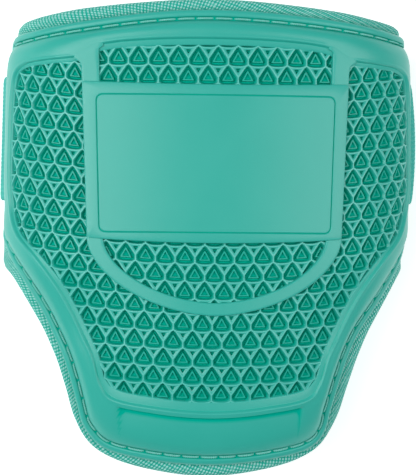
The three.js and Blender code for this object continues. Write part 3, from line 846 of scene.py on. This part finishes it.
# %% Lattice fields
FIELD_GROW = 0.7
STRIP_OVERLAP = 1.6
TOP_WINDOW_EDGE = {"bottom": 52.8, "top": 69.2, "half_width": 43, "lean": 0, "bow": 0, "corner": 1.5}
# The outer field is cut open past the border's upper edge, the lower one under the front plate.
OUTER_CUT_TOP = 90
LOWER_CUT_TOP = 0.5
OUTER_FIELD = {"first_row": -68.6, "height": 6.03, "rows": 22, "reach": 13, "smile": 0.00108,
               "pitches": (0.996, 0.981, 0.968, 0.9585), "shifts": (-0.1, -0.45, 0.05, 0.4)}
TOP_FIELD = {"first_row": 40.5, "height": 6.5, "rows": 6, "reach": 7, "smile": 0,
             "pitches": 1.01, "shifts": 1}
LOWER_FIELD = {"first_row": -34.0, "height": 6.2, "rows": 8, "reach": 7, "smile": 0.0011,
               "pitches": 1, "shifts": 0.3}


def strip_line(bar, depth, grow, top):
    """One edge of the strip as a closed outline, grown outwards and ended at the top."""
    edge = strip_edge((bar[0] + grow, bar[1]), depth + grow, (BAR_TOP, 0))
    return np.vstack([(edge[0][0], top), edge[edge[:, 1] < top], (edge[-1][0], top)])


around_strip = strip_line(BAR_OUTER, U_DEPTHS[0], -STRIP_OVERLAP, OUTER_CUT_TOP)
inside_strip = strip_line(BAR_INNER, U_DEPTHS[1], STRIP_OVERLAP, LOWER_CUT_TOP)
outer_cuts = [(field + FIELD_GROW * field_out, "INTERSECT"), (around_strip, "DIFFERENCE")]
lattices = [
    lattice_field("shell_lattice_outer", outer_cuts, **OUTER_FIELD),
    lattice_field("shell_lattice_top", [(rounded_frame(TOP_WINDOW_EDGE, 0), "INTERSECT")], **TOP_FIELD),
    lattice_field("shell_lattice_lower", [(inside_strip, "INTERSECT")], **LOWER_FIELD),
]

# %% [markdown]
# ## Stitches
#
# One row of lockstitches holds the shell to the pad. A stitch is two plies twisted round each other. A
# texture could show thread, but real thread stands proud of the groove and casts its own shade. One
# stitch is drawn straight, repeated with an Array at an even pitch, and then led along the seam.

# %% One stitch
STITCH_LENGTH = 6.0
STITCH_DIP = 0.5
DIP_POWER = 4
PLY_RADIUS = 0.23
PLY_OFFSET = 0.17
PLY_TURNS = 4.5
PLY_STEPS = 40
PLY_SIDES = 6
TAPER_POWER = 8
TAPER_LEAST = 0.05


def ply(start):
    sections = []
    round_ply = np.linspace(0, FULL_TURN, PLY_SIDES, endpoint=False)
    for share in np.linspace(0, 1, PLY_STEPS):
        from_middle = 2 * share - 1
        turn = start + FULL_TURN * PLY_TURNS * share
        radius = PLY_RADIUS * math.sqrt(max(1 - from_middle**TAPER_POWER, TAPER_LEAST))
        y = PLY_OFFSET * math.cos(turn) + radius * np.cos(round_ply)
        z = PLY_OFFSET * math.sin(turn) + radius * np.sin(round_ply) - STITCH_DIP * from_middle**DIP_POWER
        sections.append(np.column_stack([np.full(PLY_SIDES, STITCH_LENGTH * share), y, z]))
    return draw_rings("ply", sections, fill_first=True, fill_last=True, merge=FLAT_MERGE)


stitches = join([ply(0), ply(math.pi)])
stitches.name = "stitches"
print("stitch", STITCH_LENGTH, "mm long,", len(stitches.data.polygons), "faces")

# %% Row of stitches
STITCH_PITCH = 6.65
STITCH_LEVEL = -1.3


def along_line(line, length, places):
    """Leads points drawn along a straight line round a closed one."""
    normals = outward(line)
    closed = np.vstack([line, line[:1]])
    normals = np.vstack([normals, normals[:1]])
    run = np.linspace(0, length, len(closed))
    arc = places[:, 0] % length
    point = np.stack([np.interp(arc, run, closed[:, i]) for i in (0, 1)], 1)
    out = np.stack([np.interp(arc, run, normals[:, i]) for i in (0, 1)], 1)
    return np.column_stack([point + out * places[:, 1:2], places[:, 2]])


stitch_count = round(seam_length / STITCH_PITCH)
repeat(stitches, stitch_count, (seam_length / stitch_count, 0, 0))
places = points_of(stitches) + (0, 0, STITCH_LEVEL)
move_points(stitches, wrap(along_line(seam, seam_length, places)))
finish_mesh(stitches, SOFT_SMOOTH)
print(stitch_count, "stitches")

# %% [markdown]
# ## Pad
#
# The pad is firm foam in a woven cover. Its edge rolls out from under the shell's flange, is pressed in
# where the strap comes out, and its back is drawn in by the row of stitches. A cloth simulation would
# suit a slack cushion. This cover is tight over moulded foam and has no free folds, so its roll is drawn.

# %% Pad
FLANGE_WIDTH = 3.0
PAD_FRONT = -4.1
PAD_BACK = -12.1
PAD_SHARES = [0.05, 0.25, 0.45, 0.65, 0.85]
# Columns: share of the way from the flange's edge to the pad's edge, level.
PAD_ROLL = [(0.0, -4.1), (0.22, -3.3), (0.45, -2.8), (0.68, -3.0), (0.86, -3.8), (0.96, -5.2), (1.0, -7.0),
            (0.96, -8.9), (0.84, -10.5), (0.64, -11.4), (0.3, -11.95), (-0.2, -12.1)]
# Columns: distance out from the seam, level, for the sewn groove in the back.
PAD_SEAM = [(1.6, -11.9), (0.8, -11.2), (0.3, -10.4), (-0.3, -10.4), (-0.8, -11.2), (-1.6, -11.9),
            (-3.5, -12.1)]
STRAP = {"bottom": 12.9, "top": 57.7, "thickness": 1.8, "start": 94.6}
STRAP_PRESS = {"depth": 2.8, "fade": 6, "from": 90, "to": 102}


def pressed(line, level):
    """A ring of the pattern, moved in and down where the strap presses on the pad."""
    across, along = line.T
    press = STRAP_PRESS["depth"] * between(STRAP_PRESS["from"], STRAP_PRESS["to"], np.abs(across))
    press = press * between(STRAP["bottom"] - STRAP_PRESS["fade"], STRAP["bottom"], along)
    press = press * between(STRAP["top"] + STRAP_PRESS["fade"], STRAP["top"], along)
    return np.column_stack([across - np.sign(across) * press, along, level - press])


def above_floor(places):
    places[:, 2] = np.maximum(places[:, 2], 0)
    return places


flange_edge = seam + FLANGE_WIDTH * seam_out
back_edge = seam + PAD_SEAM[-1][0] * seam_out
pattern = [pressed(HUB + (flange_edge - HUB) * share, PAD_FRONT) for share in PAD_SHARES]
pattern += [pressed(flange_edge + (pad_edge - flange_edge) * share, level) for share, level in PAD_ROLL]
pattern += [pressed(seam + out * seam_out, level) for out, level in PAD_SEAM]
pattern += [pressed(HUB + (back_edge - HUB) * share, PAD_BACK) for share in reversed(PAD_SHARES)]
pad_rings = [above_floor(wrap(places)) for places in pattern]
pad = finish_mesh(draw_rings("pad_cover", pad_rings, fill_first=True, fill_last=True), SOFT_SMOOTH)

# %% [markdown]
# A weave has to follow the cloth, so the cover gets a flat map. An unwrap operator would cut it into
# islands of unknown size. The rings already know how long they are, so the map is measured along them,
# in millimetres: round the pad's edge, and out from it over the roll.

# %% Flat map of the cover
EDGE_SHARE = 1.0


def unroll(piece, rings, reference):
    """Gives a ring piece a flat map in millimetres: round one ring, and out from that ring."""
    rings, mesh = np.array(rings) / MM, piece.data
    count = rings.shape[1]
    around = np.linalg.norm(np.roll(rings[reference], -1, axis=0) - rings[reference], axis=1)
    around = np.concatenate([[0], np.cumsum(around)])
    along = np.cumsum(np.linalg.norm(np.diff(rings, axis=0, prepend=rings[:1]), axis=2), axis=0)
    along = along - along[reference]
    vertex = np.empty(len(mesh.loops), np.int32)
    mesh.loops.foreach_get("vertex_index", vertex)
    spoke, number = layer_of(piece, "spoke")[vertex], layer_of(piece, "ring")[vertex]
    sides = [len(polygon.vertices) for polygon in mesh.polygons]
    face = np.repeat(np.arange(len(sides)), sides)
    past_end = (spoke == 0) & np.isin(face, face[spoke == count - 1])
    flat = np.stack([around[np.where(past_end, count, spoke)], along[number, spoke]], 1)
    mesh.uv_layers.new(name="weave").data.foreach_set("uv", flat.astype(np.float32).ravel())
    print(piece.name, "map is", around[-1].round(), "mm round")


edge_ring = len(PAD_SHARES) + [share for share, _ in PAD_ROLL].index(EDGE_SHARE)
unroll(pad, pad_rings, edge_ring)

# %% [markdown]
# ## Strap
#
# The elastic comes out under the shell's side edges, bows out, turns under and lies flat on the floor
# behind the arm. A curve with a flat bevel would give an even band. This one eases in over its width,
# differently at its two sides, as the photograph shows. So its section is placed at each step of a route.

# %% Route of the strap
STRAP_OUTERMOST = {1: 78.4, -1: 72.7}
STRAP_BOW = {"start_out": 0.4, "start_down": 2, "end_down": 2.4, "steps": 18}
STRAP_TURN = {"radius": 3.8, "steps": 12}
STRAP_FLOOR_STEPS = 40
FLANGE_LEVEL = -1.9


def strap_side(outermost):
    """One side of the route, from the shell's edge to the floor: distance from the middle, height."""
    half = STRAP["thickness"] / 2
    start = surface(np.array([STRAP["start"]]), np.array([STRAP["bottom"]]))[0]
    turn_height = half + STRAP_TURN["radius"]
    first = np.array((start[0] - MIDDLE[0] + FLANGE_LEVEL - half, start[2]))
    second = first + (STRAP_BOW["start_out"], -STRAP_BOW["start_down"])
    third = np.array((outermost, turn_height + STRAP_BOW["end_down"]))
    fourth = np.array((outermost, turn_height))
    t = np.linspace(0, 1, STRAP_BOW["steps"])[:, None]
    bow = (1 - t) ** 3 * first + 3 * t * (1 - t) ** 2 * second + 3 * t**2 * (1 - t) * third + t**3 * fourth
    angle = np.linspace(0, math.pi / 2, STRAP_TURN["steps"])[1:]
    turn_out = outermost - STRAP_TURN["radius"] * (1 - np.cos(angle))
    turn_up = turn_height - STRAP_TURN["radius"] * np.sin(angle)
    return np.vstack([bow, np.stack([turn_out, turn_up], 1)])


right_side = strap_side(STRAP_OUTERMOST[1])
left_side = (strap_side(STRAP_OUTERMOST[-1]) * (-1, 1))[::-1]
floor_shares = np.linspace(0, 1, STRAP_FLOOR_STEPS + 1)[1:-1, None]
floor_run = right_side[-1] + (left_side[0] - right_side[-1]) * floor_shares
route = np.vstack([right_side, floor_run, left_side])
strap_length = np.linalg.norm(np.diff(route, axis=0), axis=1).sum()
print("strap", round(strap_length), "mm long")

# %% [markdown]
# The woven ribs run lengthwise, so they are part of the section that is extruded along the route. A bump in
# the material would show them too, but ribs in the mesh are part of the shape itself.

# %% Strap
STRAP_RIBS = 28
RIB_STEPS = 4
RIB_DEPTH = 0.09
# The strap thins at its two edges: to what share, and how suddenly.
STRAP_EDGE = {"share": 0.25, "power": 30}
# How far each side eases in over the strap's width: square, straight and constant shares.
STRAP_EASE = {1: (1.45, 0.29, 0.015), -1: (0, 0.42, 0.42)}

across_width = np.linspace(-1, 1, STRAP_RIBS * RIB_STEPS + 1)
rib_wave = 0.5 + 0.5 * np.cos(across_width * STRAP_RIBS * math.pi)
thinning = (1 - np.abs(across_width) ** STRAP_EDGE["power"]) * (1 - STRAP_EDGE["share"]) + STRAP_EDGE["share"]
half_thick = (STRAP["thickness"] / 2 - RIB_DEPTH * rib_wave) * thinning
strap_middle = (STRAP["bottom"] + STRAP["top"]) / 2
section_y = MIDDLE[1] + strap_middle + across_width * (STRAP["top"] - strap_middle)


def strap_section(place, normal):
    out, height = place
    side = 1 if out > 0 else -1
    bowed = side * between(route[0][0], STRAP_OUTERMOST[side], abs(out))
    eased = bowed * np.polyval(STRAP_EASE[side], across_width)
    faces = []
    for face in (-1, 1):
        x = MIDDLE[0] + out + normal[0] * half_thick * face - eased
        z = height + normal[1] * half_thick * face
        faces.append(np.stack([x, section_y, z], 1)[::-face])
    return np.vstack(faces) * MM


run = np.gradient(route, axis=0)
run /= np.linalg.norm(run, axis=1)[:, None]
route_normals = np.stack([-run[:, 1], run[:, 0]], 1)
strap_sections = [strap_section(place, normal) for place, normal in zip(route, route_normals)]
strap = draw_rings("strap_band", strap_sections, fill_first=True, fill_last=True)
finish_mesh(strap, SOFT_SMOOTH)
unroll(strap, strap_sections, 0)

# %% [markdown]
# ## Materials
#
# Shader maths reads best as plain expressions. One small class wraps a socket: adding or multiplying two
# of them adds the Math node. A second class holds a material, and one method of it makes any other node.

# %% Shader values
class Value:
    """A socket whose sums, differences and products add Math nodes."""

    def __init__(self, tree, socket):
        self.tree = tree
        self.socket = socket

    def math(self, operation, *values):
        node = self.tree.nodes.new("ShaderNodeMath")
        node.operation = operation
        for socket, value in zip(node.inputs, values):
            link_or_set(self.tree, socket, value)
        return Value(self.tree, node.outputs[0])

    def __add__(self, other):
        return self.math("ADD", self, other)

    def __sub__(self, other):
        return self.math("SUBTRACT", self, other)

    def __rsub__(self, other):
        return self.math("SUBTRACT", other, self)

    def __mul__(self, other):
        return self.math("MULTIPLY", self, other)

    __radd__ = __add__
    __rmul__ = __mul__

    def at_least(self, low):
        return self.math("MAXIMUM", self, low)

    def at_most(self, high):
        return self.math("MINIMUM", self, high)

    def wave(self):
        """A sine wave between 0 and 1."""
        return 0.5 + 0.5 * self.math("SINE", self)


def link_or_set(tree, socket, value):
    if isinstance(value, Value):
        tree.links.new(value.socket, socket)
    else:
        socket.default_value = value


print("values know", [name for name in vars(Value) if not name.startswith("_")])

# %% Shader helper
# The numbers of a Mix node's sockets for its factor, its two colours and the mixed colour.
MIX_FACTOR, MIX_FIRST, MIX_SECOND = 0, 6, 7
MIX_RESULT = 2


class Shader:
    """A material with one Principled surface, whose constants are set on its sockets."""

    def __init__(self, name, constants):
        self.material = bpy.data.materials.new(name)
        self.material.use_nodes = True
        self.tree = self.material.node_tree
        self.surface = self.tree.nodes["Principled BSDF"]
        for socket, value in constants.items():
            self.surface.inputs[socket].default_value = value

    def node(self, kind, settings, sockets, output=0):
        made = self.tree.nodes.new("ShaderNode" + kind)
        for name, value in settings.items():
            setattr(made, name, value)
        for socket, value in sockets.items():
            link_or_set(self.tree, made.inputs[socket], value)
        return Value(self.tree, made.outputs[output])

    def mix(self, factor, colors):
        sockets = {MIX_FACTOR: factor, MIX_FIRST: colors[0], MIX_SECOND: colors[1]}
        return self.node("Mix", {"data_type": "RGBA"}, sockets, MIX_RESULT)

    def noise(self, scale, detail):
        place = self.node("TexCoord", {}, {}, "Object")
        return self.node("TexNoise", {}, {"Vector": place, "Scale": scale, "Detail": detail})

    def bump(self, height, strength, distance):
        return self.node("Bump", {}, {"Height": height, "Strength": strength, "Distance": distance})

    def feed(self, sockets):
        for name, value in sockets.items():
            self.tree.links.new(value.socket, self.surface.inputs[name])

    def blend(self, factor, second):
        first = Value(self.tree, self.surface.outputs[0])
        both = self.node("MixShader", {}, {0: factor, 1: first, 2: second})
        self.tree.links.new(both.socket, self.tree.nodes["Material Output"].inputs["Surface"])


def paint(pieces, shader):
    for piece in pieces:
        piece.data.materials.clear()
        piece.data.materials.append(shader.material)
        print(piece.name, "is painted with", shader.material.name)


print("shaders know", [name for name in vars(Shader) if not name.startswith("_")])

# %% [markdown]
# ## Rubber
#
# The shell is one satin rubber, clouded a little and with a fine moulded grain. Its rib tops get a painted
# highlight, paler in colour, and its pockets and creases a painted shade, deeper in colour and without shine.
# Separate materials would leave hard borders between these. Here the depth that each point carries tints the
# rubber and blends in a matte one for the painted shade.

# %% Rubber
# Open rubber and the painted pocket shade each run from one colour to another over the clouds. The painted
# highlight on the rib tops has one tint.
RUBBER = ((0.022, 0.425, 0.347, 1), (0.034, 0.455, 0.375, 1))
POCKET_SHADE = ((0.0003, 0.39, 0.285, 1), (0.0003, 0.45, 0.335, 1))
CREST_HIGHLIGHT = (0.12, 0.6, 0.52, 1)
CLOUD = {"scale": 55.0, "detail": 3.0}
GRAIN = {"scale": 2600.0, "detail": 2.0}
GRAIN_BUMP = {"strength": 0.12, "distance": 0.0002}
LEAST_ROUGH = 0.32
CLOUD_ROUGH = 0.06
# How deep a point lies before the painted shade begins, and how fast it grows.
SHADE_START = 0.6
SHADE_GAIN = 1.5


def rubber_shader():
    shader = Shader("rubber", {"Specular IOR Level": 0.5})
    cloud = shader.noise(**CLOUD)
    depth = shader.node("Attribute", {"attribute_name": "depth"}, {}, "Fac")
    # Painted shade: deeper points blend into the matte pocket colour below, which has no sheen.
    shade_share = (depth * -SHADE_GAIN - SHADE_START).at_most(1.0).at_least(0.0)
    open_rubber = shader.mix(cloud, RUBBER)
    shader.feed({
        # Painted highlight: rib tops, whose depth is above 0, take the pale crest tint.
        "Base Color": shader.mix(depth.at_least(0.0), (open_rubber, CREST_HIGHLIGHT)),
        "Roughness": LEAST_ROUGH + CLOUD_ROUGH * cloud,
        "Normal": shader.bump(shader.noise(**GRAIN), **GRAIN_BUMP),
    })
    pocket_shade_sockets = {"Base Color": shader.mix(cloud, POCKET_SHADE), "Roughness": 0.9, "Specular IOR Level": 0.0}
    shader.blend(shade_share, shader.node("BsdfPrincipled", {}, pocket_shade_sockets))
    return shader


shell_pieces = [border, bars, plate, *lattices]
paint(shell_pieces, rubber_shader())

# %% [markdown]
# ## Woven cover and elastic
#
# The cover is a twill of light and dark yarns, and the elastic a tight rib with fine cross threads. An
# image of cloth would be the usual way. Two sine waves over the flat map give the same yarns at their real
# size: one for the yarn that lies on top, one for where it dips under. A fine noise makes them uneven.

# %% Woven cover and elastic
FABRIC = ((0.0005, 0.4, 0.31, 1), (0.36, 0.75, 0.69, 1))
ELASTIC = ((0.05, 0.48, 0.41, 1), (0.13, 0.6, 0.52, 1))
# A weave: how many millimetres of the map's two ways one yarn takes, the same for one dip, then its looks.
COVER_WEAVE = {"yarn": (1.2, -2.6), "dip": (4.2, 1.35), "contrast": 1.8, "bump": 0.0003}
ELASTIC_WEAVE = {"yarn": (1.6, 50.0), "dip": (50.0, 0.9), "contrast": 0.6, "bump": 0.0002}
WOVEN = {"Roughness": 0.8, "Specular IOR Level": 0.15, "Sheen Weight": 0.08, "Sheen Roughness": 0.5}
SPECKLE = {"scale": 900.0, "detail": 2.0}
SPECKLE_SHARE = 1.3
DARK_SHARE = 0.75
LEAST_YARN = 0.15
WEAVE_STRENGTH = 0.7


def yarn_wave(u, v, spacing):
    return (FULL_TURN / spacing[0] * u + FULL_TURN / spacing[1] * v).wave()


def woven_shader(name, colors, weave):
    shader = Shader(name, WOVEN)
    place = shader.node("UVMap", {"uv_map": "weave"}, {})
    u, v = (shader.node("SeparateXYZ", {}, {"Vector": place}, axis) for axis in (0, 1))
    dip_share = LEAST_YARN + (1 - LEAST_YARN) * yarn_wave(u, v, weave["dip"])
    height = yarn_wave(u, v, weave["yarn"]) * dip_share
    light = weave["contrast"] * height + SPECKLE_SHARE * shader.noise(**SPECKLE) - DARK_SHARE
    shader.feed({
        "Base Color": shader.mix(light.at_most(1.0).at_least(0.0), colors),
        "Normal": shader.bump(height, WEAVE_STRENGTH, weave["bump"]),
    })
    return shader


paint([pad], woven_shader("woven_cover", FABRIC, COVER_WEAVE))
paint([strap], woven_shader("elastic", ELASTIC, ELASTIC_WEAVE))

# %% [markdown]
# ## Thread
#
# The thread is paler than the rubber and catches the light on its fibres. Its twist is already in the mesh,
# so a fine noise between two tones is enough for the fibres.

# %% Thread
THREAD = ((0.07, 0.52, 0.44, 1), (0.32, 0.78, 0.7, 1))
FIBRE = {"scale": 2400.0, "detail": 2.0}


def thread_shader():
    shader = Shader("thread", {"Roughness": 0.6, "Specular IOR Level": 0.2})
    shader.feed({"Base Color": shader.mix(shader.noise(**FIBRE), THREAD)})
    return shader


paint([stitches], thread_shader())

# %% [markdown]
# ## The pieces on the body
#
# Every piece rides on the one body, and the CAD parts for the shell, pad and strap are hidden.

# %% Frame
for piece in shell_pieces:
    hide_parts("shell")
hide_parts("pad")
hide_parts("strap")
pieces = [*shell_pieces, pad, strap, stitches]
for piece in pieces:
    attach(piece, "root")
print(len(pieces), "pieces ride")

# %% [markdown]
# ## Floor
#
# The guard was photographed on white. A large plane that glows a little stays pale right to the edges of
# the picture, where a lit one would grow darker, and it still takes the guard's soft shadow.

# %% Floor
FLOOR_SIZE = 4
FLOOR_TONES = ((0.88, 0.88, 0.88, 1), (0.92, 0.92, 0.92, 1))
FLOOR_CLOUD = {"scale": 3.0, "detail": 2.0}
FLOOR_FINISH = {"Roughness": 0.9, "Emission Color": (1, 1, 1, 1), "Emission Strength": 0.52}

bpy.ops.object.select_all(action="DESELECT")
bpy.ops.mesh.primitive_plane_add(size=FLOOR_SIZE)
floor = bpy.context.object
floor.name = "floor"
floor_shader = Shader("pale_floor", FLOOR_FINISH)
floor_shader.feed({"Base Color": floor_shader.mix(floor_shader.noise(**FLOOR_CLOUD), FLOOR_TONES)})
paint([floor], floor_shader)

# %% [markdown]
# ## Light
#
# The sheen on the shell's two sides shows large soft boxes. A strong one stands at the left, a weak one
# low at the left reaches the side wall, and one stands at the right. A pale world fills the shadows.

# %% Light
# Columns: place, width and length, power in watts.
SOFT_BOXES = {
    "left_box": ((-0.56, 0.1, 0.92), (0.7, 0.9), 6.7),
    "low_left_box": ((-0.85, 0.05, 0.5), (0.3, 0.9), 1.7),
    "right_box": ((0.7, 0.05, 0.82), (0.5, 0.9), 4.5),
}
LIGHT_AIM = Vector((0, 0, 0.03))
WORLD_COLOR = (1, 1, 1, 1)
WORLD_STRENGTH = 0.2

for name, (place, size, power) in SOFT_BOXES.items():
    bpy.ops.object.light_add(type="AREA", location=place)
    lamp = bpy.context.object
    lamp.name = name
    lamp.data.shape = "RECTANGLE"
    lamp.data.size, lamp.data.size_y = size
    lamp.data.energy = power
    lamp.rotation_euler = (LIGHT_AIM - Vector(place)).to_track_quat("-Z", "Y").to_euler()
world = bpy.data.worlds.new("pale_studio")
world.use_nodes = True
background = world.node_tree.nodes["Background"]
background.inputs["Color"].default_value = WORLD_COLOR
background.inputs["Strength"].default_value = WORLD_STRENGTH
bpy.context.scene.world = world
bpy.context.scene.view_settings.view_transform = "Standard"
print("lamps", list(SOFT_BOXES))

# %% [markdown]

# %% [markdown]
